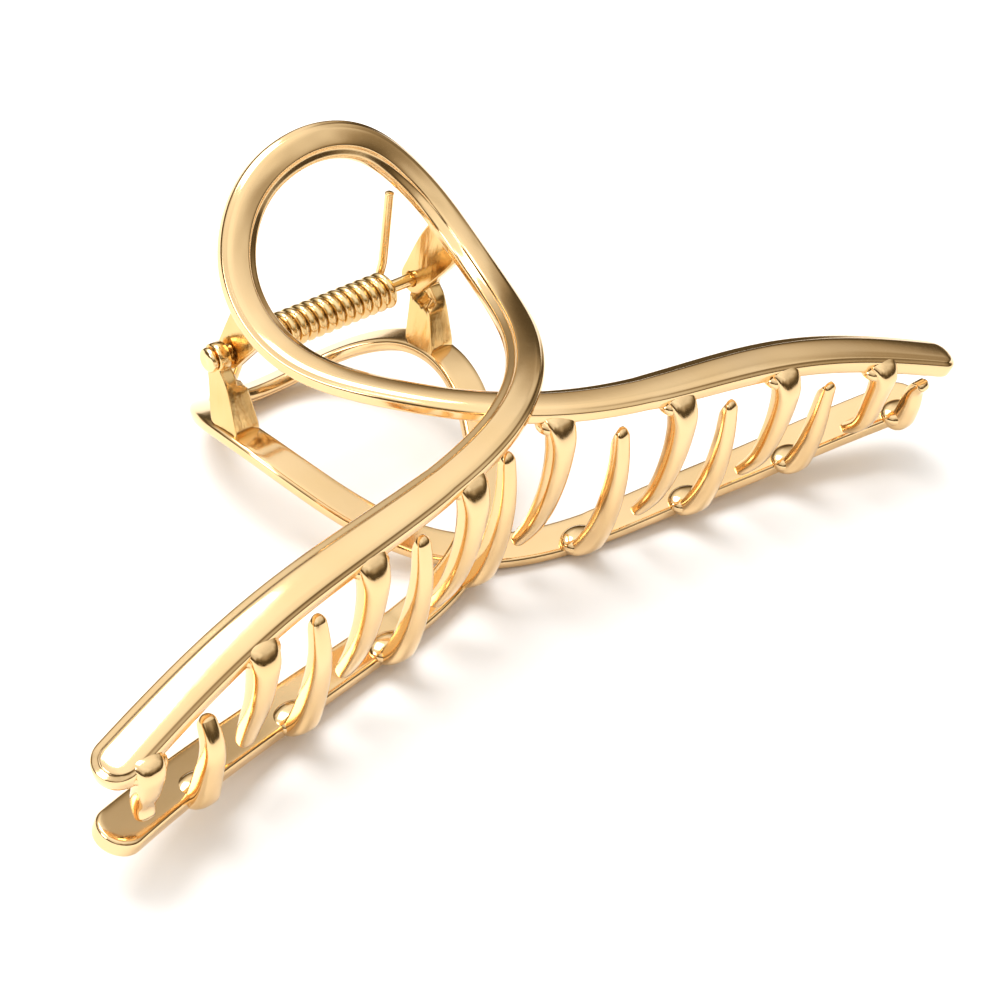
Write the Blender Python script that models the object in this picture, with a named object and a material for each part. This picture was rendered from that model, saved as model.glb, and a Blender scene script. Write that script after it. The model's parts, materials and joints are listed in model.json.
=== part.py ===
"""Loop-handled claw clip: two die-cast jaws, a riveted hinge pin and a torsion spring.

Each jaw is one flat band that makes a teardrop finger loop, crosses over itself and
sweeps out into two toothed arms. The lower jaw is the upper one turned half a turn
about the line that runs from the hinge to the teeth, so the teeth interlock. The upper
jaw carries two ears between the two posts of the lower jaw, and one pin runs through
all four. +X runs along the pin, the teeth are towards -Y, and the clip rests on Z = 0 with its
box centred on the origin.
"""

import math

import bmesh
import bpy
import numpy as np
from mathutils import Matrix

# Overall form of a jaw, measured from the hinge axis with the clip shut.
ARM_REACH = 0.0538  # hinge centre to an arm's rounded end, along X
ARM_FORWARD = 0.0390  # how far the arm ends stand in front of the hinge
ARM_END_HEIGHT = 0.0046  # outer face above the mid-plane at the arm ends
CROSSING_FORWARD = 0.0264  # where the band crosses itself
CROSSING_HEIGHT = 0.0114  # outer face above the mid-plane at the crossing
LOOP_HALF_WIDTH = 0.0131  # finger loop, centre line of the band
LOOP_BACK = 0.0064  # how far the loop's far bar stands behind the hinge
LOOP_HEIGHT = 0.0178  # outer face of the far bar above the mid-plane
LOOP_WAIST_HEIGHT = 0.0078  # lowest point of the loop, over the hinge ears
STRAND_STEP = 0.0004  # half the step between the two strands at the crossing
ARM_SKEW = 0.0008  # the under strand's arm ends further forward, the over strand's less

# Band section.
LOOP_BAND_WIDTH = 0.0038
ARM_BAND_WIDTH = 0.0046
LOOP_THICKNESS = 0.0018
ARM_THICKNESS = 0.0022
BAND_CROWN = 0.00025  # how far the outer face bows out
BAND_BEVEL = 0.00045

# Teeth.
TEETH_PER_JAW = 8
TOOTH_PITCH = 0.0066  # from a tooth of one jaw to the next tooth of the other
TOOTH_SHIFT = -0.0003  # moves the upper jaw's teeth along +X and the lower jaw's along -X
TOOTH_WIDTH = 0.0023
TOOTH_TIP_WIDTH = 0.0015
TOOTH_DEPTH = 0.0022
TOOTH_TIP_DEPTH = 0.0012
TOOTH_BULGE = 0.0014  # how far a tooth bows out in front of its band
TOOTH_TIP_GAP = 0.0015  # tip to the other jaw's inner face
KNOB_WIDTH = 0.0034  # swelling at each tooth's root
KNOB_DEPTH = 0.0030

# Hinge.
PIN_RADIUS = 0.00068
PIN_CLEARANCE = 0.00020  # radial, in the ears and posts
HEAD_RADIUS = 0.00130
HEAD_THICKNESS = 0.00070
HEAD_GAP = 0.00020  # head to the post's face
POST_EYE_THICKNESS = 0.0014
POST_SHOULDER_THICKNESS = 0.0021
POST_BASE_THICKNESS = 0.0031
POST_EYE_RADIUS = 0.00150
EAR_THICKNESS = 0.0013
EAR_EYE_RADIUS = 0.00170
EAR_POST_GAP = 0.00035  # face to face, between an ear and its post
EAR_INSET = 0.0018  # from the loop's centre line in to an ear's inner face
EAR_FACE_X = LOOP_HALF_WIDTH - EAR_INSET

# Torsion spring.
WIRE_DIAMETER = 0.00095
COIL_MEAN_RADIUS = 0.00155
COIL_TURNS = 13.5
COIL_PITCH = 0.00120
LEG_KICK = 0.0004  # how far a leg steps outward from the coil's end, along X
LEG_CLEARANCE = 0.00030  # leg tip to the loop it pushes on
LEG_BACK = 0.0032  # how far behind the hinge a leg's tip ends
NUB_RADIUS = 0.0005
NUB_SPREAD = 0.0016  # each nub from the leg it keeps in place

REST_TILT = math.radians(10.4)  # the clip lies on its lower jaw, tilted forward
BAND_STATIONS = 104
CAP_STATIONS = 5  # extra stations round an arm's end
FACETS = 20


def clear_scene():
    for thing in list(bpy.data.objects):
        bpy.data.objects.remove(thing, do_unlink=True)


def metal(name, colour, roughness):
    """A plated metal with its own Principled surface."""
    made = bpy.data.materials.new(name)
    made.use_nodes = True
    shader = made.node_tree.nodes["Principled BSDF"]
    shader.inputs["Base Color"].default_value = (*colour, 1.0)
    shader.inputs["Metallic"].default_value = 1.0
    shader.inputs["Roughness"].default_value = roughness
    made.diffuse_color = (*colour, 1.0)
    return made


def spline(knots):
    """A natural cubic spline through the knots: its length, and a reader by distance."""
    knots = np.asarray(knots, float)
    chord = np.linalg.norm(np.diff(knots, axis=0), axis=1)
    at = np.concatenate([[0.0], np.cumsum(np.sqrt(chord * chord.mean()))])
    step = np.diff(at)
    size = len(knots)
    system = np.eye(size)
    right = np.zeros_like(knots)
    for i in range(1, size - 1):
        system[i, i - 1 : i + 2] = step[i - 1], 2 * (step[i - 1] + step[i]), step[i]
        slope_after = (knots[i + 1] - knots[i]) / step[i]
        slope_before = (knots[i] - knots[i - 1]) / step[i - 1]
        right[i] = 6 * (slope_after - slope_before)
    bend = np.linalg.solve(system, right)

    def read(where):
        i = np.clip(np.searchsorted(at, where) - 1, 0, size - 2)
        near = ((at[i + 1] - where) / step[i])[:, None]
        far = ((where - at[i]) / step[i])[:, None]
        curve = (near**3 - near) * bend[i] + (far**3 - far) * bend[i + 1]
        return near * knots[i] + far * knots[i + 1] + curve * (step[i] ** 2 / 6)[:, None]

    fine = np.linspace(0, at[-1], 2001)
    gaps = np.linalg.norm(np.diff(read(fine)[:, :3], axis=0), axis=1)
    length = np.concatenate([[0.0], np.cumsum(gaps)])
    return length[-1], lambda distance: read(np.interp(distance, length, fine))


def unit(vectors):
    return vectors / np.linalg.norm(vectors, axis=-1, keepdims=True)


def skin(rings):
    """A closed mesh over rings of points, with both ends filled."""
    count, around = rings.shape[:2]
    ring = np.arange(count - 1)[:, None] * around
    here = np.arange(around)[None, :]
    after = (here + 1) % around
    quads = np.stack([ring + here, ring + after, ring + around + after, ring + around + here], -1)
    faces = quads.reshape(-1, 4).tolist()
    faces.append(list(range(around))[::-1])
    faces.append([(count - 1) * around + i for i in range(around)])
    return solid(rings.reshape(-1, 3), faces)


def solid(points, faces):
    """A mesh object from points and faces, its faces turned outwards."""
    data = bpy.data.meshes.new("shape")
    data.from_pydata(np.asarray(points).tolist(), [], faces)
    shape = bmesh.new()
    shape.from_mesh(data)
    bmesh.ops.remove_doubles(shape, verts=shape.verts, dist=1e-7)
    bmesh.ops.recalc_face_normals(shape, faces=shape.faces)
    if shape.calc_volume(signed=True) < 0:
        bmesh.ops.reverse_faces(shape, faces=shape.faces)
    shape.to_mesh(data)
    shape.free()
    made = bpy.data.objects.new("shape", data)
    bpy.context.scene.collection.objects.link(made)
    return made


def combine(base, others, operation="UNION", crossing=False):
    """The base joined with the others, or cut by them, one at a time, as one plain mesh."""
    for other in others:
        change = base.modifiers.new("join", "BOOLEAN")
        change.object = other
        change.operation = operation
        change.solver = "EXACT"
        change.use_self = crossing
        bpy.context.view_layer.update()
        graph = bpy.context.evaluated_depsgraph_get()
        merged = bpy.data.meshes.new_from_object(base.evaluated_get(graph))
        base.modifiers.clear()
        base.data = merged
        bpy.data.objects.remove(other, do_unlink=True)
    return base


def band_knots():
    """Centre line of the outer face and its lean, from the loop's far bar to an arm end."""
    half = LOOP_HALF_WIDTH
    back = LOOP_BACK
    cross = CROSSING_FORWARD
    top = LOOP_HEIGHT
    waist = LOOP_WAIST_HEIGHT
    high = CROSSING_HEIGHT
    arm = ARM_REACH
    drop = high - ARM_END_HEIGHT
    run = ARM_FORWARD - cross
    return [
        # x, forward, height, lean forward, lean sideways
        (0.0, -back, top, 0.84, 0.0),
        (0.44 * half, -0.91 * back, top - 0.0013, 0.82, 0.0),
        (0.69 * half, -0.70 * back, top - 0.0035, 0.76, 0.0),
        (0.86 * half, -0.38 * back, top - 0.0056, 0.62, 0.0),
        (0.98 * half, 0.036 * cross, waist + 0.0020, 0.40, 0.0),
        (half, 0.19 * cross, waist + 0.0004, 0.20, 0.0),
        (0.94 * half, 0.365 * cross, waist, -0.02, 0.0),
        (0.80 * half, 0.54 * cross, waist + 0.0008, -0.17, 0.0),
        (0.59 * half, 0.715 * cross, waist + 0.0021, -0.25, 0.0),
        (0.32 * half, 0.873 * cross, high - 0.0005, -0.20, 0.0),
        (0.0, cross, high, -0.12, 0.0),
        (-0.08 * arm, cross + 0.17 * run, high, -0.06, -0.03),
        (-0.22 * arm, cross + 0.34 * run, high - 0.055 * drop, 0.0, -0.05),
        (-0.41 * arm, cross + 0.46 * run, high - 0.14 * drop, 0.05, -0.08),
        (-0.61 * arm, cross + 0.59 * run, high - 0.27 * drop, 0.08, -0.19),
        (-0.81 * arm, cross + 0.77 * run, high - 0.60 * drop, 0.08, -0.32),
        (-arm, cross + run, high - drop, 0.06, -0.42),
    ]


def band_line():
    """Stations along the whole band: left arm, over strand, loop, under strand, right arm."""
    half = np.array(band_knots())
    step = np.exp(-(((half[:, 1] - CROSSING_FORWARD) / 0.0075) ** 2)) * (np.abs(half[:, 0]) < 0.02)
    over = half.copy()
    over[:, 2] += step * STRAND_STEP
    under = half * [-1, 1, 1, 1, -1]
    under[:, 2] -= step * STRAND_STEP
    skew = ARM_SKEW * (half[:, 0] < 0) * (half[:, 0] / ARM_REACH) ** 2
    over[:, 1] -= skew
    under[:, 1] += skew
    knots = np.concatenate([over[::-1], under[1:]])
    knots[:, 1] *= -1
    length, read = spline(knots)
    cap = 0.5 * ARM_BAND_WIDTH
    ends = cap * (1 - np.cos(np.linspace(0, np.pi / 2, CAP_STATIONS, endpoint=False)))
    # Stations are half as close again in the loop as on the arms.
    t = np.linspace(-1, 1, BAND_STATIONS)
    middle = 0.5 * length + (0.5 * length - cap) * t * (0.65 + 0.35 * t**2)
    distance = np.concatenate([ends, middle, (length - ends)[::-1]])
    line = read(distance)
    centre = line[:, :3]
    along = unit(np.gradient(centre, axis=0))
    up = np.column_stack([line[:, 4], -line[:, 3], np.ones(len(line))])
    up = unit(up - (up * along).sum(1, keepdims=True) * along)
    side = np.cross(along, up)
    # The last stretch narrows to a round end.
    inside = np.clip(np.minimum(distance, length - distance) / cap, 0, 1)
    ending = np.sqrt(np.clip(1 - (1 - inside) ** 2, 0.03, 1))
    return centre, up, side, ending


def band_sizes(centre):
    """The band's width and thickness at each station: both grow along the arms."""
    out = np.clip((np.abs(centre[:, 0]) - LOOP_HALF_WIDTH) / (ARM_REACH - LOOP_HALF_WIDTH), 0, 1)
    out = out * (-centre[:, 1] > 0.6 * CROSSING_FORWARD)
    grown = np.sqrt(out)
    width = LOOP_BAND_WIDTH + (ARM_BAND_WIDTH - LOOP_BAND_WIDTH) * grown
    return width, LOOP_THICKNESS + (ARM_THICKNESS - LOOP_THICKNESS) * grown


def band():
    """The band as one swept solid that passes through itself at the crossing."""
    centre, up, side, ending = band_line()
    width, thickness = band_sizes(centre)
    half = 0.5 * width * ending
    bevel = BAND_BEVEL * ending
    # Each corner of the section: side, how far in from the edge, how far under the crown.
    section = [
        (-1, 0.0, thickness - 0.00015),
        (-1, 0.0, BAND_BEVEL + BAND_CROWN),
        (-1, 0.8, BAND_CROWN),
        (-1, 3.0, 0.3 * BAND_CROWN),
        (0, 0.0, 0.0),
        (1, 3.0, 0.3 * BAND_CROWN),
        (1, 0.8, BAND_CROWN),
        (1, 0.0, BAND_BEVEL + BAND_CROWN),
        (1, 0.0, thickness - 0.00015),
        (1, 0.3, thickness),
        (-1, 0.3, thickness),
    ]
    rings = []
    for edge, inset, depth in section:
        offset = edge * (half - inset * bevel)
        depth = np.broadcast_to(depth, len(centre))
        rings.append(centre + side * offset[:, None] - up * depth[:, None])
    return skin(np.stack(rings, 1))


def arm_at(x):
    """At this x on an arm: how far forward and high its centre line is, and its half width."""
    centre, up, side, ending = band_line()
    width, thickness = band_sizes(centre)
    half = len(centre) // 2
    arm = -centre[:, 1] > 0.985 * CROSSING_FORWARD
    arm &= centre[:, 0] * np.sign(x) > -0.004
    arm &= (np.arange(len(centre)) < half) if x < 0 else (np.arange(len(centre)) >= half)
    order = np.argsort(centre[arm][:, 0])
    here = centre[arm][order]
    return (
        np.interp(x, here[:, 0], -here[:, 1]),
        np.interp(x, here[:, 0], here[:, 2]),
        0.5 * np.interp(x, here[:, 0], width[arm][order]),
    )


def tooth(x):
    """One curved tooth of the upper jaw, from its band's front edge to its tip."""
    forward, high, half = arm_at(x)
    other_forward, other_high, other_half = arm_at(-x)
    front = forward + half
    tip = ARM_THICKNESS + TOOTH_TIP_GAP - other_high
    root = high - 0.5 * ARM_THICKNESS
    drop = root - tip
    bulge = TOOTH_BULGE * min(1.0, (drop / 0.018) ** 2)
    knots = [
        (x, -(front - 0.0012), root + 0.0001),
        (x, -(front - 0.0001), root - 0.0003),
        (x, -(front + 0.75 * bulge), root - 0.20 * drop),
        (x, -(front + bulge), root - 0.48 * drop),
        (x, -(front + 0.62 * bulge), root - 0.76 * drop),
        (x, -(other_forward + other_half - 0.0005), tip),
    ]
    length, read = spline(knots)
    t = np.linspace(0, 1, 9)
    path = read(t * length)
    across = np.array([1.0, 0.0, 0.0])
    front_way = np.cross(unit(np.gradient(path, axis=0)), across)
    widths = TOOTH_WIDTH + (TOOTH_TIP_WIDTH - TOOTH_WIDTH) * t**1.5
    depths = TOOTH_DEPTH + (TOOTH_TIP_DEPTH - TOOTH_DEPTH) * t**1.5
    angle = np.linspace(0, 2 * np.pi, 8, endpoint=False) + np.pi / 8
    flat = np.sign(np.cos(angle)) * np.abs(np.cos(angle)) ** 0.75
    tall = np.sign(np.sin(angle)) * np.abs(np.sin(angle)) ** 0.75
    rings = path[:, None, :] + 0.5 * widths[:, None, None] * flat[None, :, None] * across
    return skin(rings + 0.5 * depths[:, None, None] * tall[None, :, None] * front_way[:, None, :])


def knob(x):
    """The swelling where a tooth leaves the front of the band."""
    forward, high, half = arm_at(x)
    polar = np.linspace(0.12, np.pi - 0.12, 7)
    turn = np.linspace(0, 2 * np.pi, 12, endpoint=False)
    wide = 0.5 * KNOB_WIDTH * np.sin(polar)[:, None] * np.cos(turn)
    deep = 0.5 * KNOB_DEPTH * np.sin(polar)[:, None] * np.sin(turn)
    tall = 0.6 * ARM_THICKNESS * np.cos(polar)[:, None] + 0 * turn
    middle = np.array([x, -(forward + half - 0.0004), high - 0.72 * ARM_THICKNESS])
    return skin(np.stack([wide, deep, tall], -1) + middle)


def cylinder_x(radius, left, right, facets=FACETS):
    turn = np.linspace(0, 2 * np.pi, facets, endpoint=False)
    ring = np.stack([0 * turn, radius * np.cos(turn), radius * np.sin(turn)], -1)
    return skin(np.stack([ring + [left, 0, 0], ring + [right, 0, 0]]))


def plate(outline, faces_at):
    """A plate across X with this side outline; faces_at gives both x values at a height."""
    inner = [(faces_at(up)[0], -forward, up) for forward, up in outline]
    outer = [(faces_at(up)[1], -forward, up) for forward, up in outline]
    return skin(np.array([inner, outer]))


def ear(side):
    """One ear of the upper jaw: it hangs from the loop's waist and ends round the pin."""
    near = side * EAR_FACE_X
    far = side * (EAR_FACE_X + EAR_THICKNESS)
    waist = LOOP_WAIST_HEIGHT - 0.4 * LOOP_THICKNESS
    turn = np.linspace(math.radians(172), math.radians(343), 12)
    arc = [(EAR_EYE_RADIUS * math.cos(a), EAR_EYE_RADIUS * math.sin(a)) for a in turn]
    front = [(0.0042, 0.0044), (0.0054, waist)]
    rear = [(0.0006, waist + 0.0014), (-0.0003, 0.0060)]
    made = plate(arc + front + rear, lambda up: (near, far))
    hole = cylinder_x(PIN_RADIUS + PIN_CLEARANCE, near - side * 0.001, far + side * 0.001)
    return combine(made, [hole], "DIFFERENCE")


def post(side):
    """One post of the lower jaw, drawn upright: a tapered block and the eye on its end."""
    inner = side * (EAR_FACE_X + EAR_THICKNESS + EAR_POST_GAP)
    outer = inner + side * POST_EYE_THICKNESS
    waist = LOOP_WAIST_HEIGHT - 0.4 * LOOP_THICKNESS

    def block_faces(up):
        grown = min(1.0, max(0.0, up / waist))
        thickness = POST_SHOULDER_THICKNESS
        thickness += (POST_BASE_THICKNESS - POST_SHOULDER_THICKNESS) * grown
        return outer - side * thickness, outer

    block = [(0.0004, 0.0005), (0.0027, 0.0005), (0.0059, waist)]
    block += [(0.0016, waist + 0.0014), (-0.0002, 0.0022)]
    turn = np.linspace(math.radians(150), math.radians(385), 15)
    arc = [(POST_EYE_RADIUS * math.cos(a), POST_EYE_RADIUS * math.sin(a)) for a in turn]
    eye = plate(arc + [(0.0027, 0.0016), (0.0020, 0.0030), (-0.0001, 0.0026)], lambda up: (inner, outer))
    made = plate(block, block_faces)
    relief = cylinder_x(EAR_EYE_RADIUS + EAR_POST_GAP, inner - side * 0.004, inner)
    made = combine(made, [relief], "DIFFERENCE")
    made = combine(made, [eye])
    hole = cylinder_x(PIN_RADIUS + PIN_CLEARANCE, inner - side * 0.001, outer + side * 0.001)
    return combine(made, [hole], "DIFFERENCE")


def leg_line():
    """The right-hand leg seen along X: the coil's end, the leg's tip and the tangent angle."""
    x = 0.5 * COIL_TURNS * COIL_PITCH
    centre, up, side, ending = band_line()
    # The tip ends under the inner face's edge that faces into the loop.
    edge = centre - up * LOOP_THICKNESS - side * 0.5 * LOOP_BAND_WIDTH
    rear = (edge[:, 0] > 0) & (edge[:, 1] > 0)
    order = np.argsort(edge[rear][:, 0])
    tip_up = np.interp(x + LEG_KICK, edge[rear][order, 0], edge[rear][order, 2])
    tip_up -= 0.5 * WIRE_DIAMETER + LEG_CLEARANCE
    tip = np.array([LEG_BACK, tip_up])
    reach = math.hypot(*tip)
    angle = math.atan2(tip[1], tip[0]) - math.acos(COIL_MEAN_RADIUS / reach)
    foot = COIL_MEAN_RADIUS * np.array([math.cos(angle), math.sin(angle)])
    return x, foot, tip, angle


def torsion_spring():
    """A close-wound coil on the pin whose legs push the two finger loops apart."""
    x, foot, tip, angle = leg_line()
    start = math.atan2(-foot[1], foot[0])
    sweep = 2 * math.pi * round(COIL_TURNS - (angle - start) / (2 * math.pi)) + angle - start
    t = np.linspace(0, 1, int(COIL_TURNS * 12))
    turn = start + sweep * t
    coil = np.column_stack([2 * x * t - x, np.cos(turn), np.sin(turn)])
    coil[:, 1:] *= COIL_MEAN_RADIUS
    up_leg = []
    for share, kick in ((0.12, 0.4), (0.25, 1.0), (1.0, 1.0)):
        up_leg.append((x + kick * LEG_KICK, *(foot + (tip - foot) * share)))
    down_leg = [(-leg_x, y, -z) for leg_x, y, z in up_leg[::-1]]
    line = np.concatenate([down_leg, coil, up_leg])
    along = unit(np.gradient(line, axis=0))
    first = unit(np.cross(along, [1.0, 0.0, 0.0]))
    second = np.cross(along, first)
    turn = np.linspace(0, 2 * np.pi, 6, endpoint=False)
    radius = 0.5 * WIRE_DIAMETER
    rings = line[:, None, :] + radius * np.cos(turn)[None, :, None] * first[:, None, :]
    return skin(rings + radius * np.sin(turn)[None, :, None] * second[:, None, :])


def nubs():
    """Two small nubs under the loop that keep the spring's leg from walking sideways."""
    x, foot, tip, angle = leg_line()
    centre, up, side, ending = band_line()
    half = len(centre) // 2
    distance = np.linalg.norm(centre[:half, :2] - [x + LEG_KICK, tip[0]], axis=1)
    near = int(np.argmin(distance))
    spacing = np.linalg.norm(centre[near] - centre[near - 1])
    made = []
    for sign in (-1, 1):
        place = near + sign * round(NUB_SPREAD / spacing)
        middle = centre[place] - up[place] * (LOOP_THICKNESS - 0.0001)
        polar = np.linspace(0.2, np.pi - 0.2, 5)
        turn = np.linspace(0, 2 * np.pi, 8, endpoint=False)
        wide = np.sin(polar)[:, None] * np.cos(turn)
        deep = np.sin(polar)[:, None] * np.sin(turn)
        tall = 1.5 * np.cos(polar)[:, None] + 0 * turn
        made.append(skin(NUB_RADIUS * np.stack([wide, deep, tall], -1) + middle))
    return made


def pin():
    """The headed pin, with its far end peened over the other post."""
    outer = EAR_FACE_X + EAR_THICKNESS + EAR_POST_GAP + POST_EYE_THICKNESS + HEAD_GAP
    turn = np.linspace(0, 2 * np.pi, FACETS, endpoint=False)
    ring = np.stack([0 * turn, np.cos(turn), np.sin(turn)], -1)
    profile = [
        (-outer - HEAD_THICKNESS, 0.55 * HEAD_RADIUS),
        (-outer - 0.8 * HEAD_THICKNESS, 0.88 * HEAD_RADIUS),
        (-outer - 0.45 * HEAD_THICKNESS, HEAD_RADIUS),
        (-outer, HEAD_RADIUS),
        (-outer, PIN_RADIUS),
        (outer, PIN_RADIUS),
        (outer, 0.86 * HEAD_RADIUS),
        (outer + 0.45 * HEAD_THICKNESS, 0.80 * HEAD_RADIUS),
        (outer + 0.7 * HEAD_THICKNESS, 0.45 * HEAD_RADIUS),
    ]
    return skin(np.stack([ring * [1, radius, radius] + [x, 0, 0] for x, radius in profile]))


def jaw(name, hinge):
    """One jaw casting, drawn as the upper one: the band, its teeth and its hinge parts."""
    places = [2 * i - TEETH_PER_JAW + 0.5 for i in range(TEETH_PER_JAW)]
    roots = []
    for place in places:
        x = place * TOOTH_PITCH + TOOTH_SHIFT
        roots.append(combine(tooth(x), [knob(x)]))
    # The first join also fuses the band with itself where it crosses.
    base = combine(band(), roots[:1], crossing=True)
    base = combine(base, roots[1:] + nubs() + [hinge(-1), hinge(1)])
    base.name = name
    return base


def smooth(thing, angle):
    thing.data.polygons.foreach_set("use_smooth", [True] * len(thing.data.polygons))
    bpy.context.view_layer.objects.active = thing
    for other in bpy.context.selected_objects:
        other.select_set(False)
    thing.select_set(True)
    bpy.ops.object.shade_smooth_by_angle(angle=math.radians(angle))


clear_scene()
gold = metal("champagne_gold_plating", (0.86, 0.66, 0.38), 0.16)
wire_gold = metal("gold_plated_spring_wire", (0.84, 0.60, 0.28), 0.20)
pin_gold = metal("gold_plated_pin", (0.85, 0.64, 0.34), 0.18)

upper = jaw("upper_jaw", ear)
lower = jaw("lower_jaw", post)
lower.data.transform(Matrix.Rotation(math.pi, 4, "Y"))
spring = torsion_spring()
spring.name = "torsion_spring"
hinge_pin = pin()
hinge_pin.name = "hinge_pin"

nodes = {upper: gold, lower: gold, spring: wire_gold, hinge_pin: pin_gold}
tilt = Matrix.Rotation(REST_TILT, 4, "X")
corners = [tilt @ vertex.co for node in nodes for vertex in node.data.vertices]
lowest = min(corner.z for corner in corners)
middle = 0.5 * (min(corner.y for corner in corners) + max(corner.y for corner in corners))
for node, surface in nodes.items():
    node.data.materials.clear()
    node.data.materials.append(surface)
    node.matrix_world = Matrix.Translation((0.0, -middle, -lowest)) @ tilt
    smooth(node, 35)
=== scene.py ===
# %% [markdown]
# # A loop-handled claw clip in pale gold
# The clip is two castings of the same form. Each is one flat band that makes a finger
# loop, crosses itself and sweeps out into two toothed arms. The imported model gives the
# box, the hinge and the bodies; everything shown is made again around it in fine detail.

import json
import math

import bmesh
import bpy
import numpy as np
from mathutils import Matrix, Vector


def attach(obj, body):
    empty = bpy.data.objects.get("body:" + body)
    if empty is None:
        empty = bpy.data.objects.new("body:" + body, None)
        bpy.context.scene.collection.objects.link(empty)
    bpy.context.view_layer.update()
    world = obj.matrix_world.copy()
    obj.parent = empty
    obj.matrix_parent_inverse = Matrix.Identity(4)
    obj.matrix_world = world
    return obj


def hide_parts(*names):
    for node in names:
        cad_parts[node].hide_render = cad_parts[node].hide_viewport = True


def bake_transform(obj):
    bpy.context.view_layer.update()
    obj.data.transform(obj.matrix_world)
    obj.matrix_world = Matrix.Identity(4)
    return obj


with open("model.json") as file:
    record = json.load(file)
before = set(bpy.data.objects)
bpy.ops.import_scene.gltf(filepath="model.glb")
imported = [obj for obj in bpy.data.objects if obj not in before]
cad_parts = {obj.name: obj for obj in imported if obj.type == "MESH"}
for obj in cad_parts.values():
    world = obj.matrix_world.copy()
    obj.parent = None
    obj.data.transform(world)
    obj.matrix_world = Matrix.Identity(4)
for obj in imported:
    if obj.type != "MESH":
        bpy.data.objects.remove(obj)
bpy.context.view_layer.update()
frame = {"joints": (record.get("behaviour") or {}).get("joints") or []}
HINGE = np.array(frame["joints"][0]["pos_m"])

# %% [markdown]
# ## The sizes
# A caliper on the real clip would give these. They are in metres, measured from the
# hinge pin with the clip shut: x along the pin, forward towards the teeth, height above
# the plane in which the teeth meet.

# %% Sizes of a jaw
ARM_REACH = 0.0538
ARM_FORWARD = 0.0390
ARM_END_HEIGHT = 0.0046
CROSSING_FORWARD = 0.0264
CROSSING_HEIGHT = 0.0114
LOOP_HALF_WIDTH = 0.0131
LOOP_BACK = 0.0064
LOOP_HEIGHT = 0.0178
LOOP_WAIST_HEIGHT = 0.0078
STRAND_STEP = 0.0004
ARM_SKEW = 0.0008
LOOP_BAND_WIDTH = 0.0038
ARM_BAND_WIDTH = 0.0046
LOOP_THICKNESS = 0.0018
ARM_THICKNESS = 0.0022
BAND_CROWN = 0.00025

# %% Sizes of the teeth, hinge and spring
TEETH_PER_JAW = 8
TOOTH_PITCH = 0.0066
TOOTH_SHIFT = -0.0003
TOOTH_WIDTH = 0.0027
TOOTH_TIP_WIDTH = 0.0016
TOOTH_DEPTH = 0.0029
TOOTH_TIP_DEPTH = 0.0014
TOOTH_BULGE = 0.0014
TOOTH_TIP_GAP = 0.0015
KNOB_WIDTH = 0.0044
KNOB_DEPTH = 0.0032
PIN_RADIUS = 0.00068
HOLE_RADIUS = 0.00088
HEAD_RADIUS = 0.00130
HEAD_THICKNESS = 0.00070
HEAD_GAP = 0.00020
EAR_THICKNESS = 0.0013
EAR_FACE_X = 0.0113
EAR_POST_GAP = 0.00035
EYE_THICKNESS = 0.0014
WIRE_RADIUS = 0.000475
COIL_RADIUS = 0.00155
COIL_TURNS = 13.5
COIL_PITCH = 0.0012
LEG_KICK = 0.0004
LEG_BACK = 0.0032
LEG_CLEARANCE = 0.0003
REST_TILT = math.radians(10.4)
POST_INNER_X = EAR_FACE_X + EAR_THICKNESS + EAR_POST_GAP
POST_OUTER_X = POST_INNER_X + EYE_THICKNESS

# %% [markdown]
# ## Curves and surfaces
# Every piece is a grid of points worked out as a whole array. A natural spline carries
# the band's centre line, and a skin joins the rows of a grid into faces.


# %% A natural cubic spline
def spline(knots):
    """Length and reader of the curve whose second derivative is zero at both ends."""
    knots = np.asarray(knots, float)
    chord = np.linalg.norm(np.diff(knots, axis=0), axis=1)
    at = np.concatenate([[0.0], np.cumsum(np.sqrt(chord * chord.mean()))])
    step = np.diff(at)
    size = len(knots)
    inner = np.arange(1, size - 1)
    system = np.eye(size)
    system[inner, inner - 1] = step[:-1]
    system[inner, inner] = 2 * (step[:-1] + step[1:])
    system[inner, inner + 1] = step[1:]
    slope = np.diff(knots, axis=0) / step[:, None]
    right = np.zeros_like(knots)
    right[1:-1] = 6 * np.diff(slope, axis=0)
    bend = np.linalg.solve(system, right)

    def read(where):
        i = np.clip(np.searchsorted(at, where) - 1, 0, size - 2)
        near = ((at[i + 1] - where) / step[i])[:, None]
        far = ((where - at[i]) / step[i])[:, None]
        curve = (near**3 - near) * bend[i] + (far**3 - far) * bend[i + 1]
        return near * knots[i] + far * knots[i + 1] + curve * (step[i] ** 2 / 6)[:, None]

    fine = np.linspace(0, at[-1], 4001)
    gaps = np.linalg.norm(np.diff(read(fine)[:, :3], axis=0), axis=1)
    length = np.concatenate([[0.0], np.cumsum(gaps)])
    return length[-1], lambda distance: read(np.interp(distance, length, fine))


def unit(vectors):
    return vectors / np.linalg.norm(vectors, axis=-1, keepdims=True)


# %% Grids into closed meshes
def skin(grid, wrap=True):
    """Points and quads of a grid; wrap joins the last column to the first."""
    rows, columns = grid.shape[:2]
    across = np.arange(columns if wrap else columns - 1)
    here = np.arange(rows - 1)[:, None] * columns + across
    after = np.arange(rows - 1)[:, None] * columns + (across + 1) % columns
    quads = np.stack([here, after, after + columns, here + columns], -1).reshape(-1, 4)
    return grid.reshape(-1, 3), quads


def place(points, lower):
    """Clip coordinates into the frame: the lower jaw is half a turn round, then both tilt."""
    points = points * ([-1, 1, -1] if lower else [1, 1, 1])
    c, s = math.cos(REST_TILT), math.sin(REST_TILT)
    turn = np.array([[1, 0, 0], [0, c, -s], [0, s, c]])
    return points @ turn.T + HINGE


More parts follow.
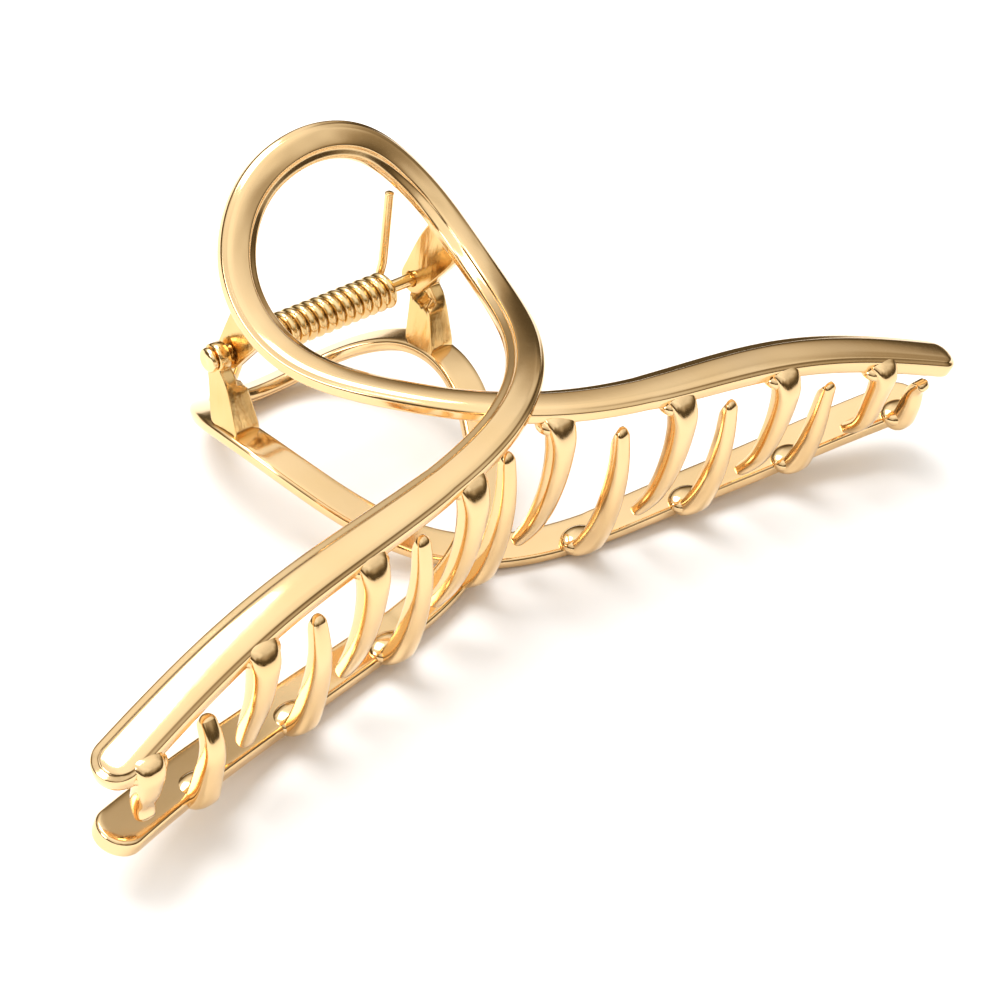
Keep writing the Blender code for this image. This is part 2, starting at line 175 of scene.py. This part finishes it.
def piece(name, skins, lower, material, body):
    """One object from several closed skins, welded, facing outwards and smooth."""
    points = np.concatenate([p for p, q in skins])
    starts = np.cumsum([0] + [len(p) for p, q in skins[:-1]])
    quads = np.concatenate([q + start for (p, q), start in zip(skins, starts)])
    data = bpy.data.meshes.new(name)
    data.from_pydata(place(points, lower), [], quads.tolist())
    shape = bmesh.new()
    shape.from_mesh(data)
    bmesh.ops.remove_doubles(shape, verts=shape.verts, dist=2e-7)
    bmesh.ops.dissolve_degenerate(shape, edges=shape.edges, dist=1e-8)
    bmesh.ops.holes_fill(shape, edges=shape.edges, sides=0)
    bmesh.ops.recalc_face_normals(shape, faces=shape.faces)
    shape.to_mesh(data)
    shape.free()
    data.polygons.foreach_set("use_smooth", np.ones(len(data.polygons), bool))
    data.materials.append(material)
    made = bpy.data.objects.new(name, data)
    bpy.context.scene.collection.objects.link(made)
    if body:
        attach(made, body)
    print(name, len(data.polygons), "faces")
    return made


# %% [markdown]
# ## Shader maths
# The finishes are plated metal: bright, faintly uneven in polish, with the fine ripple
# that a die casting keeps under its plating. A small class lets sockets be added and
# multiplied in plain Python.


# %% Sockets with operators
class Value:
    """A number socket that can be added, multiplied and subtracted."""

    def __init__(self, tree, socket):
        self.tree = tree
        self.socket = socket

    def _math(self, operation, first, second):
        made = self.tree.nodes.new("ShaderNodeMath")
        made.operation = operation
        for slot, item in zip(made.inputs, (first, second)):
            if isinstance(item, Value):
                self.tree.links.new(item.socket, slot)
            else:
                slot.default_value = item
        return Value(self.tree, made.outputs[0])

    def __add__(self, other):
        return self._math("ADD", self, other)

    __radd__ = __add__

    def __mul__(self, other):
        return self._math("MULTIPLY", self, other)

    __rmul__ = __mul__

    def __sub__(self, other):
        return self._math("SUBTRACT", self, other)

    def __rsub__(self, other):
        return self._math("SUBTRACT", other, self)

    def over(self, limit):
        return self._math("GREATER_THAN", self, limit)


class Shader:
    """A node tree with one method that makes any node."""

    def __init__(self, tree):
        self.tree = tree

    def node(self, kind, settings=None, **values):
        made = self.tree.nodes.new(kind)
        for name, value in (settings or {}).items():
            setattr(made, name, value)
        for name, value in values.items():
            slot = made.inputs[int(name[1:])] if name[0] == "_" else made.inputs[name.replace("_", " ")]
            if isinstance(value, Value):
                self.tree.links.new(value.socket, slot)
            else:
                slot.default_value = value
        return made

    def out(self, made, name=0):
        return Value(self.tree, made.outputs[name])


# %% Plated metal
def plated(name, light, deep, rough, ripple, cast=0.0):
    """Metal whose tint, polish and fine relief drift a little over the surface.

    cast is the height of the streaky as-cast skin that is left where no wheel reached.
    """
    made = bpy.data.materials.new(name)
    made.use_nodes = True
    shader = Shader(made.node_tree)
    surface = made.node_tree.nodes["Principled BSDF"]
    where = shader.out(shader.node("ShaderNodeTexCoord"), "Object")
    cloud = shader.out(shader.node("ShaderNodeTexNoise", Vector=where, Scale=140.0, Detail=3.0))
    grain = shader.out(shader.node("ShaderNodeTexNoise", Vector=where, Scale=2600.0, Detail=2.0))
    tint = shader.node("ShaderNodeMix", {"data_type": "RGBA"}, _0=cloud, _6=(*deep, 1), _7=(*light, 1))
    made.node_tree.links.new(tint.outputs[2], surface.inputs["Base Color"])
    polish = rough + 0.05 * (cloud - 0.5) + 0.04 * (grain - 0.5)
    made.node_tree.links.new(polish.socket, surface.inputs["Roughness"])
    surface.inputs["Metallic"].default_value = 1.0
    height = cloud * (1.2 * ripple) + grain * (0.08 * ripple)
    if cast:
        stretched = shader.node("ShaderNodeMapping", Vector=where, Scale=(900.0, 900.0, 160.0))
        streak = shader.out(
            shader.node("ShaderNodeTexNoise", Vector=shader.out(stretched), Scale=1.0, Detail=5.0)
        )
        height = height + streak * cast
    bump = shader.node("ShaderNodeBump", Strength=1.0, Distance=1.0, Height=height)
    made.node_tree.links.new(bump.outputs[0], surface.inputs["Normal"])
    made.diffuse_color = (*light, 1)
    return made


plating = plated("champagne_plating", (0.89, 0.65, 0.37), (0.83, 0.56, 0.26), 0.12, 2e-5)
cast_plating = plated("as_cast_plating", (0.90, 0.65, 0.31), (0.72, 0.44, 0.15), 0.17, 2e-5, 6e-5)
wire_plating = plated("plated_wire", (0.92, 0.70, 0.38), (0.80, 0.54, 0.22), 0.15, 1e-5)
pin_plating = plated("plated_pin", (0.93, 0.72, 0.40), (0.85, 0.60, 0.28), 0.12, 1e-5)

# %% [markdown]
# ## The band
# One strip of cast metal, about 4 mm wide and 2 mm thick. Its outer face is slightly
# crowned. A narrow facet runs along the loop's inner edge and the arms' rear edge, with
# a crisp crease beside it; the other edge has two fine bevels. The section is carried
# along the centre line, and half of it is swung round each arm's end.


# %% Centre line
def band_line(count=460):
    """Stations from the left arm over the crossing, round the loop, to the right arm."""
    half = LOOP_HALF_WIDTH
    back = LOOP_BACK
    cross = CROSSING_FORWARD
    top = LOOP_HEIGHT
    waist = LOOP_WAIST_HEIGHT
    high = CROSSING_HEIGHT
    arm = ARM_REACH
    drop = high - ARM_END_HEIGHT
    run = ARM_FORWARD - cross
    knots = np.array([
        (0.0, -back, top, 0.84, 0.0),
        (0.44 * half, -0.91 * back, top - 0.0013, 0.82, 0.0),
        (0.69 * half, -0.70 * back, top - 0.0035, 0.76, 0.0),
        (0.86 * half, -0.38 * back, top - 0.0056, 0.62, 0.0),
        (0.98 * half, 0.036 * cross, waist + 0.0020, 0.40, 0.0),
        (half, 0.19 * cross, waist + 0.0004, 0.20, 0.0),
        (0.94 * half, 0.365 * cross, waist, -0.02, 0.0),
        (0.80 * half, 0.54 * cross, waist + 0.0008, -0.17, 0.0),
        (0.59 * half, 0.715 * cross, waist + 0.0021, -0.25, 0.0),
        (0.32 * half, 0.873 * cross, high - 0.0005, -0.20, 0.0),
        (0.0, cross, high, -0.12, 0.0),
        (-0.08 * arm, cross + 0.17 * run, high, -0.06, -0.03),
        (-0.22 * arm, cross + 0.34 * run, high - 0.055 * drop, 0.0, -0.05),
        (-0.41 * arm, cross + 0.46 * run, high - 0.14 * drop, 0.05, -0.08),
        (-0.61 * arm, cross + 0.59 * run, high - 0.27 * drop, 0.08, -0.19),
        (-0.81 * arm, cross + 0.77 * run, high - 0.60 * drop, 0.08, -0.32),
        (-arm, cross + run, high - drop, 0.06, -0.42),
    ])
    near_loop = np.abs(knots[:, 0]) < 0.02
    step = np.exp(-(((knots[:, 1] - cross) / 0.0075) ** 2)) * near_loop
    over = knots.copy()
    over[:, 2] += step * STRAND_STEP
    under = knots * [-1, 1, 1, 1, -1]
    under[:, 2] -= step * STRAND_STEP
    skew = ARM_SKEW * (knots[:, 0] < 0) * (knots[:, 0] / arm) ** 2
    over[:, 1] -= skew
    under[:, 1] += skew
    line = np.concatenate([over[::-1], under[1:]])
    line[:, 1] *= -1
    length, read = spline(line)
    cap = 0.5 * ARM_BAND_WIDTH
    found = read(np.linspace(cap, length - cap, count))
    # A running mean over a few millimetres fairs the line, its ends held where they are.
    window = np.hanning(31)[:, None] / np.hanning(31).sum()
    rows = np.arange(count)[:, None] + np.arange(-15, 16)
    inside = rows.clip(0, count - 1)
    mirrored = 2 * found[inside[:, 15]][:, None] - found[(2 * inside[:, 15:16] - rows).clip(0, count - 1)]
    padded = np.where((rows == inside)[..., None], found[inside], mirrored)
    found = (padded * window).sum(1)
    centre = found[:, :3]
    along = unit(np.gradient(centre, axis=0))
    up = np.column_stack([found[:, 4], -found[:, 3], np.ones(count)])
    up = unit(up - (up * along).sum(1, keepdims=True) * along)
    return centre, along, up, np.cross(along, up)


centre, along, up, side = band_line()
reach = (np.abs(centre[:, 0]) - LOOP_HALF_WIDTH) / (ARM_REACH - LOOP_HALF_WIDTH)
grown = np.sqrt(np.clip(reach, 0, 1) * (-centre[:, 1] > 0.6 * CROSSING_FORWARD))
band_half = 0.5 * (LOOP_BAND_WIDTH + (ARM_BAND_WIDTH - LOOP_BAND_WIDTH) * grown)
band_thick = LOOP_THICKNESS + (ARM_THICKNESS - LOOP_THICKNESS) * grown
print("band of", len(centre), "stations")


# %% Section
def soften(corners, share=0.32, steps=5):
    """Each inner corner becomes a short parabola between points a share of the way off."""
    corners = np.asarray(corners, float)
    middle = corners[1:-1]
    before = middle + share * (corners[:-2] - middle)
    after = middle + share * (corners[2:] - middle)
    t = np.linspace(0, 1, steps)[:, None, None]
    curve = (1 - t) ** 2 * before + 2 * t * (1 - t) * middle + t**2 * after
    curve = curve.transpose(1, 0, 2).reshape(-1, corners.shape[1])
    return np.concatenate([corners[:1], curve, corners[-1:]])


# A corner: share of the half width, inset from the edge, depth, share of the thickness.
front_half = soften([
    (0.0, 0.0, 0.0, 0.0),
    (0.5, 0.0, 0.2 * BAND_CROWN, 0.0),
    (1.0, -0.00052, 0.8 * BAND_CROWN, 0.0),
    (1.0, -0.00036, BAND_CROWN + 0.00010, 0.0),
    (1.0, -0.00010, BAND_CROWN + 0.00028, 0.0),
    (1.0, 0.0, BAND_CROWN + 0.00055, 0.0),
    (1.0, 0.0, -0.00030, 1.0),
    (1.0, -0.00028, 0.0, 1.0),
    (0.0, 0.0, 0.0, 1.0),
])
rear_half = soften([
    (0.0, 0.0, 0.0, 0.0),
    (0.4, 0.0, 0.15 * BAND_CROWN, 0.0),
    (1.0, -0.00098, 0.6 * BAND_CROWN, 0.0),
    (1.0, -0.00090, BAND_CROWN + 0.00008, 0.0),
    (1.0, -0.00016, BAND_CROWN + 0.00032, 0.0),
    (1.0, 0.0, BAND_CROWN + 0.00055, 0.0),
    (1.0, 0.0, -0.00030, 1.0),
    (1.0, -0.00028, 0.0, 1.0),
    (0.0, 0.0, 0.0, 1.0),
])


def section(profile, half, thick):
    """Distance out and depth of each profile point at each station."""
    out = profile[:, 0] * half[:, None] + profile[:, 1]
    return out, profile[:, 2] + profile[:, 3] * thick[:, None]


def band_skins():
    """The strip itself and its two rounded ends."""
    out_f, deep_f = section(front_half, band_half, band_thick)
    out_r, deep_r = section(rear_half, band_half, band_thick)
    out = np.concatenate([out_f, -out_r[:, -2:0:-1]], 1)
    deep = np.concatenate([deep_f, deep_r[:, -2:0:-1]], 1)
    strip = centre[:, None] + side[:, None] * out[..., None] - up[:, None] * deep[..., None]
    skins = [skin(strip)]
    swing = np.linspace(0, math.pi, 33)
    share = (swing / math.pi)[:, None, None]
    profile = front_half * (1 - share) + rear_half * share
    for end, way in ((0, -1), (-1, 1)):
        out = profile[..., 0] * band_half[end] + profile[..., 1]
        deep = profile[..., 2] + profile[..., 3] * band_thick[end]
        facing = np.cos(swing)[:, None] * side[end] + way * np.sin(swing)[:, None] * along[end]
        points = centre[end] + facing[:, None] * out[..., None] - up[end] * deep[..., None]
        skins.append(skin(points, wrap=False))
    return skins


# %% [markdown]
# ## The teeth
# Eight curved teeth stand under each jaw's front edge, each leaving a half-round boss.
# Their section is a rounded rectangle that tapers, and the tip is dressed with a small
# slanted facet.


# %% Where an arm is
def arm_at(x):
    """Forward distance, height and half width of the arm's centre line at this x."""
    order = np.arange(len(centre))
    arm = (-centre[:, 1] > 0.985 * CROSSING_FORWARD) & (centre[:, 0] * np.sign(x) > -0.004)
    arm &= (order < len(centre) // 2) if x < 0 else (order >= len(centre) // 2)
    found = centre[arm]
    rank = np.argsort(found[:, 0])
    found = found[rank]
    halves = band_half[arm][rank]
    return (
        np.interp(x, found[:, 0], -found[:, 1]),
        np.interp(x, found[:, 0], found[:, 2]),
        np.interp(x, found[:, 0], halves),
    )


def tooth_skin(x, facet):
    """A tapering rounded-rectangle section along a bowed path, its tip cut on a slant."""
    forward, high, half = arm_at(x)
    other_forward, other_high, other_half = arm_at(-x)
    front = forward + half
    tip = ARM_THICKNESS + TOOTH_TIP_GAP - other_high
    root = high - 0.62 * ARM_THICKNESS
    drop = root - tip
    bulge = TOOTH_BULGE * min(1.0, (drop / 0.018) ** 2)
    length, read = spline([
        (x, -(front - 0.0012), root + 0.0001),
        (x, -(front - 0.0001), root - 0.0003),
        (x, -(front + 0.75 * bulge), root - 0.20 * drop),
        (x, -(front + bulge), root - 0.48 * drop),
        (x, -(front + 0.62 * bulge), root - 0.76 * drop),
        (x, -(other_forward + other_half - 0.0005), tip),
    ])
    t = np.concatenate([np.linspace(0, 0.95, 40), 1 - 0.05 * np.cos(np.linspace(0.1, 1.5, 10)) ** 1.5])
    path = read(t * length)
    across = np.array([1.0, 0.0, 0.0])
    outward = np.cross(unit(np.gradient(path, axis=0)), across)
    blunt = np.sqrt(np.clip(1 - ((t - 0.94) / 0.0605).clip(0, 1) ** 2, 0.0, 1))
    flare = 0.30 * np.exp(-((t / 0.17) ** 2))
    sunk = 0.45 + 0.55 * (t / 0.16).clip(0, 1)
    wide = TOOTH_WIDTH + (TOOTH_TIP_WIDTH - TOOTH_WIDTH) * t**1.5
    deep = TOOTH_DEPTH + (TOOTH_TIP_DEPTH - TOOTH_DEPTH) * t**1.5
    wide = 0.5 * wide * (blunt + flare)
    deep = 0.5 * deep * blunt * sunk
    angle = np.linspace(0, 2 * math.pi, 36, endpoint=False)
    round_x = np.sign(np.cos(angle)) * np.abs(np.cos(angle)) ** 0.72
    round_y = np.sign(np.sin(angle)) * np.abs(np.sin(angle)) ** 0.72
    depth = deep[:, None] * round_y
    limit = 0.5 * TOOTH_TIP_DEPTH * (0.9 - 11.0 * facet * (t - 0.9).clip(0, 1))
    depth = np.where(depth < 0, np.maximum(depth, -limit[:, None].clip(1e-5)), depth)
    return skin(path[:, None] + (wide[:, None] * round_x)[..., None] * across + depth[..., None] * outward[:, None])


def ball(middle, wide, deep, tall, power=1.0):
    """An ellipsoid; a power under one makes it boxier."""
    polar = np.linspace(0.02, math.pi - 0.02, 22)[:, None]
    turn = np.linspace(0, 2 * math.pi, 40, endpoint=False)
    ring = np.sin(polar) ** power
    grid = np.stack([
        wide * ring * np.cos(turn),
        deep * ring * np.sin(turn),
        tall * np.cos(polar) + 0 * turn,
    ], -1)
    return skin(grid + np.asarray(middle))


def teeth_skins(facet):
    places = np.arange(TEETH_PER_JAW) * 2 - TEETH_PER_JAW + 0.5
    skins = []
    for x in places * TOOTH_PITCH + TOOTH_SHIFT:
        forward, high, half = arm_at(x)
        middle = (x, -(forward + half - 0.0006), high - 0.88 * ARM_THICKNESS)
        skins.append(tooth_skin(x, facet))
        skins.append(ball(middle, 0.5 * KNOB_WIDTH, 0.5 * KNOB_DEPTH, 0.45 * ARM_THICKNESS, 0.8))
    return skins


# %% [markdown]
# ## Ears and posts
# The upper jaw hangs on two thin ears, the lower jaw on two tapered posts, each with an
# eye round the pin. The surface runs from the hole's rim over one face to the outline,
# across the edge with a small bevel, and back over the other face to the hole.


# %% An eyed plate
def outline(corners, share=0.3, steps=7):
    """A closed outline with each corner rounded by a parabola."""
    corners = np.asarray(corners, float)
    before = corners + share * (np.roll(corners, 1, 0) - corners)
    after = corners + share * (np.roll(corners, -1, 0) - corners)
    t = np.linspace(0, 1, steps)[:, None, None]
    curve = (1 - t) ** 2 * before + 2 * t * (1 - t) * corners + t**2 * after
    return curve.transpose(1, 0, 2).reshape(-1, 2)


def eyed_plate(edge, faces):
    """Rings from the hole's rim to the outline on one face and back on the other."""
    edge = np.repeat(edge, 2, 0)
    edge[1::2] = 0.5 * (edge[1::2] + np.roll(edge[::2], -1, 0))
    ray = unit(edge)
    span = np.linalg.norm(edge, axis=1, keepdims=True)
    bevel = 0.00018
    steps = np.linspace(0, 1, 14)[:, None, None]
    flat = HOLE_RADIUS * ray * (1 - steps) + (edge - bevel * ray) * steps
    rings = []
    for which, order in ((0, 1), (1, -1)):
        face = flat[::order]
        inner, outer = faces(face[..., 1])
        rings.append(np.stack([inner if which == 0 else outer, -face[..., 0], face[..., 1]], -1))
    inner, outer = faces(edge[:, 1])
    lean = np.sign(outer - inner)
    near = np.stack([inner + lean * bevel, -edge[:, 0], edge[:, 1]], -1)[None]
    far = np.stack([outer - lean * bevel, -edge[:, 0], edge[:, 1]], -1)[None]
    grid = np.concatenate([rings[0], near, far, rings[1], rings[0][:1]])
    return skin(grid)


def ear_skin(way):
    waist = LOOP_WAIST_HEIGHT - 0.4 * LOOP_THICKNESS
    turn = np.radians(np.linspace(172, 343, 14))
    eye = 0.0017 * np.column_stack([np.cos(turn), np.sin(turn)])
    rest = [(0.0042, 0.0044), (0.0054, waist), (0.0006, waist + 0.0014), (-0.0003, 0.0060)]
    near = way * EAR_FACE_X
    far = way * (EAR_FACE_X + EAR_THICKNESS)
    return eyed_plate(outline(np.concatenate([eye, rest])), lambda h: (near + 0 * h, far + 0 * h))


def post_skin(way):
    waist = LOOP_WAIST_HEIGHT - 0.4 * LOOP_THICKNESS
    turn = np.radians(np.linspace(150, 385, 16))
    eye = 0.0015 * np.column_stack([np.cos(turn), np.sin(turn)])
    rest = [(0.0027, 0.0016), (0.0059, waist), (0.0016, waist + 0.0014), (-0.0001, 0.0026)]

    def faces(height):
        shoulder = np.clip((height - 0.0020) / 0.0004, 0, 1)
        growth = np.clip(height / waist, 0, 1)
        thick = EYE_THICKNESS + shoulder * (0.0007 + 0.0010 * growth)
        return way * (POST_OUTER_X - thick), way * POST_OUTER_X + 0 * height

    return eyed_plate(outline(np.concatenate([eye, rest])), faces)


# %% [markdown]
# ## Both jaws
# The same strip and teeth serve twice: the lower jaw is the upper one turned over.

# %% Build the jaws
leg_x = 0.5 * COIL_TURNS * COIL_PITCH + LEG_KICK
inner_edge = centre - up * band_thick[:, None] - side * band_half[:, None]
rear = (inner_edge[:, 0] > 0) & (inner_edge[:, 1] > 0)
rank = np.argsort(inner_edge[rear][:, 0])
leg_tip_up = np.interp(leg_x, inner_edge[rear][rank, 0], inner_edge[rear][rank, 2])
leg_tip = np.array([LEG_BACK, leg_tip_up - WIRE_RADIUS - LEG_CLEARANCE])


def nub_skins():
    """Two small nubs on the loop's inner face, one each side of the spring's leg."""
    half = len(centre) // 2
    near = int(np.argmin(np.linalg.norm(centre[:half, :2] - [leg_x, leg_tip[0]], axis=1)))
    spacing = np.linalg.norm(centre[near] - centre[near - 1])
    spots = [near - round(0.0016 / spacing), near + round(0.0016 / spacing)]
    middles = [centre[i] - up[i] * (band_thick[i] - 0.0001) - side[i] * 0.0007 for i in spots]
    return [ball(middle, 0.0005, 0.0005, 0.00075) for middle in middles]


hinges = {"upper": ear_skin, "lower": post_skin}
for body, hinge in hinges.items():
    lower = body == "lower"
    strip = piece(body + "_band", band_skins(), lower, plating, body)
    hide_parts(body + "_jaw")
    comb = piece(body + "_teeth", teeth_skins(1.0 if lower else 0.6), lower, plating, body)
    bearers = piece(body + "_bearers", [hinge(-1), hinge(1)], lower, cast_plating, body)
    nubs = piece(body + "_nubs", nub_skins(), lower, plating, body)

# %% [markdown]
# ## Spring and pin
# A close coil of plated wire round the pin, with one straight leg up to the upper loop
# and one down to the lower loop. It belongs to both jaws, so it is attached to neither.


# %% Torsion spring
def spring_skin():
    """A round wire along a helix with a tangent leg at each end."""
    x = 0.5 * COIL_TURNS * COIL_PITCH
    spread = math.hypot(*leg_tip)
    angle = math.atan2(leg_tip[1], leg_tip[0]) - math.acos(COIL_RADIUS / spread)
    foot = COIL_RADIUS * np.array([math.cos(angle), math.sin(angle)])
    start = math.atan2(-foot[1], foot[0])
    turns = round(COIL_TURNS - (angle - start) / (2 * math.pi))
    sweep = 2 * math.pi * turns + angle - start
    t = np.linspace(0, 1, int(COIL_TURNS * 44))
    turn = start + sweep * t
    coil = np.column_stack([2 * x * t - x, COIL_RADIUS * np.cos(turn), COIL_RADIUS * np.sin(turn)])
    share = np.concatenate([np.linspace(0.02, 0.3, 12), np.linspace(0.34, 0.985, 24), [0.995, 1.0]])
    kick = LEG_KICK * np.clip(share / 0.25, 0, 1) ** 2 * (3 - 2 * np.clip(share / 0.25, 0, 1))
    leg = np.column_stack([x + kick, foot + (leg_tip - foot) * share[:, None]])
    line = np.concatenate([leg[::-1] * [-1, 1, -1], coil, leg])
    path = unit(np.gradient(line, axis=0))
    first = unit(np.cross(path, [1.0, 0.0, 0.0]))
    second = np.cross(path, first)
    around = np.linspace(0, 2 * math.pi, 18, endpoint=False)
    radius = np.full(len(line), WIRE_RADIUS)
    radius[[0, -1]] *= 0.72
    ring = np.cos(around)[:, None] * first[:, None] + np.sin(around)[:, None] * second[:, None]
    return skin(line[:, None] + radius[:, None, None] * ring)


wire = piece("coiled_spring", [spring_skin()], False, wire_plating, None)
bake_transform(wire)
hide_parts("torsion_spring")


# %% Pin
def pin_skin():
    """A turned profile: a domed head with a faint dimple, the shank, a peened end."""
    outer = POST_OUTER_X + HEAD_GAP
    head = outer + HEAD_THICKNESS
    profile = soften([
        (-head + 0.00012, 0.00002),
        (-head + 0.00002, 0.35 * HEAD_RADIUS),
        (-head, 0.62 * HEAD_RADIUS),
        (-outer - 0.72 * HEAD_THICKNESS, 0.92 * HEAD_RADIUS),
        (-outer - 0.30 * HEAD_THICKNESS, HEAD_RADIUS),
        (-outer, 0.98 * HEAD_RADIUS),
        (-outer, PIN_RADIUS),
        (outer, PIN_RADIUS),
        (outer, 0.86 * HEAD_RADIUS),
        (outer + 0.45 * HEAD_THICKNESS, 0.80 * HEAD_RADIUS),
        (outer + 0.7 * HEAD_THICKNESS, 0.45 * HEAD_RADIUS),
        (outer + 0.72 * HEAD_THICKNESS, 0.00002),
    ], share=0.3)
    turn = np.linspace(0, 2 * math.pi, 56, endpoint=False)
    grid = np.stack([
        profile[:, :1] + 0 * turn,
        profile[:, 1:] * np.cos(turn),
        profile[:, 1:] * np.sin(turn),
    ], -1)
    return skin(grid)


rivet = piece("headed_pin", [pin_skin()], False, pin_plating, "lower")
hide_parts("hinge_pin")

# %% [markdown]
# ## The studio
# A white sweep under a broad overhead softbox. Polished metal shows only what is round
# it, so the room is bright overhead and dim towards the horizon: crowned faces then stay
# pale while upright sides turn deep gold.

# %% Floor
paper = bpy.data.materials.new("white_paper")
paper.use_nodes = True
paper.node_tree.nodes["Principled BSDF"].inputs["Base Color"].default_value = (0.93, 0.925, 0.92, 1)
paper.node_tree.nodes["Principled BSDF"].inputs["Roughness"].default_value = 0.9
floor_mesh = bpy.data.meshes.new("floor")
FLOOR = 3.0
floor_mesh.from_pydata([(-FLOOR, -FLOOR, 0), (FLOOR, -FLOOR, 0), (FLOOR, FLOOR, 0), (-FLOOR, FLOOR, 0)], [], [(0, 1, 2, 3)])
floor_mesh.materials.append(paper)
floor = bpy.data.objects.new("floor", floor_mesh)
bpy.context.scene.collection.objects.link(floor)

# %% Room
room = bpy.data.worlds.new("studio")
bpy.context.scene.world = room
room.use_nodes = True
shader = Shader(room.node_tree)
background = room.node_tree.nodes["Background"]
direction = shader.out(shader.node("ShaderNodeTexCoord"), "Generated")
height = shader.out(shader.node("ShaderNodeSeparateXYZ", Vector=direction), "Z")
patches = shader.out(shader.node("ShaderNodeTexNoise", Vector=direction, Scale=2.2, Detail=1.0))
ramp = shader.node("ShaderNodeValToRGB", Fac=height * 0.5 + 0.5 + 0.30 * (patches - 0.5))
stops = [(0.0, 0.7), (0.49, 0.4), (0.53, 0.07), (0.64, 0.12), (0.72, 0.40), (0.82, 0.95), (1.0, 1.35)]
ramp.color_ramp.elements[0].position = stops[0][0]
ramp.color_ramp.elements[1].position = stops[-1][0]
for position, level in stops[1:-1]:
    ramp.color_ramp.elements.new(position)
for stop, (position, level) in zip(ramp.color_ramp.elements, stops):
    # The dim part of the room is warm, so that the metal's dark sides stay golden.
    warmth = 1 - min(1.0, level)
    stop.color = (level, level * (1 - 0.25 * warmth), level * (1 - 0.6 * warmth), 1)
seen = shader.out(shader.node("ShaderNodeLightPath"), "Is Camera Ray")
mixed = shader.node("ShaderNodeMix", {"data_type": "RGBA"}, _0=seen, _7=(1.0, 1.0, 1.0, 1))
room.node_tree.links.new(ramp.outputs[0], mixed.inputs[6])
room.node_tree.links.new(mixed.outputs[2], background.inputs["Color"])
background.inputs["Strength"].default_value = 1.0


# %% Lights
def softbox(name, place, size, power, target=(0.0, 0.0, 0.01)):
    data = bpy.data.lights.new(name, "AREA")
    data.size = size
    data.energy = power
    made = bpy.data.objects.new(name, data)
    made.location = place
    made.rotation_euler = (Vector(target) - Vector(place)).to_track_quat("-Z", "Y").to_euler()
    bpy.context.scene.collection.objects.link(made)


softbox("overhead", (-0.10, 0.25, 0.70), 0.45, 4.0)
softbox("left_fill", (-0.65, 0.05, 0.35), 0.30, 1.6)

# %% Camera
lens = bpy.data.cameras.new("view")
lens.lens = 80.1
lens.sensor_width = 36.0
lens.clip_start = 0.005
camera = bpy.data.objects.new("view", lens)
camera.location = (-0.12312, -0.12913, 0.14423)
camera.rotation_euler = tuple(math.radians(turn) for turn in (51.50, -5.59, -42.15))
bpy.context.scene.collection.objects.link(camera)
bpy.context.scene.camera = camera
bpy.context.scene.view_settings.view_transform = "Standard"
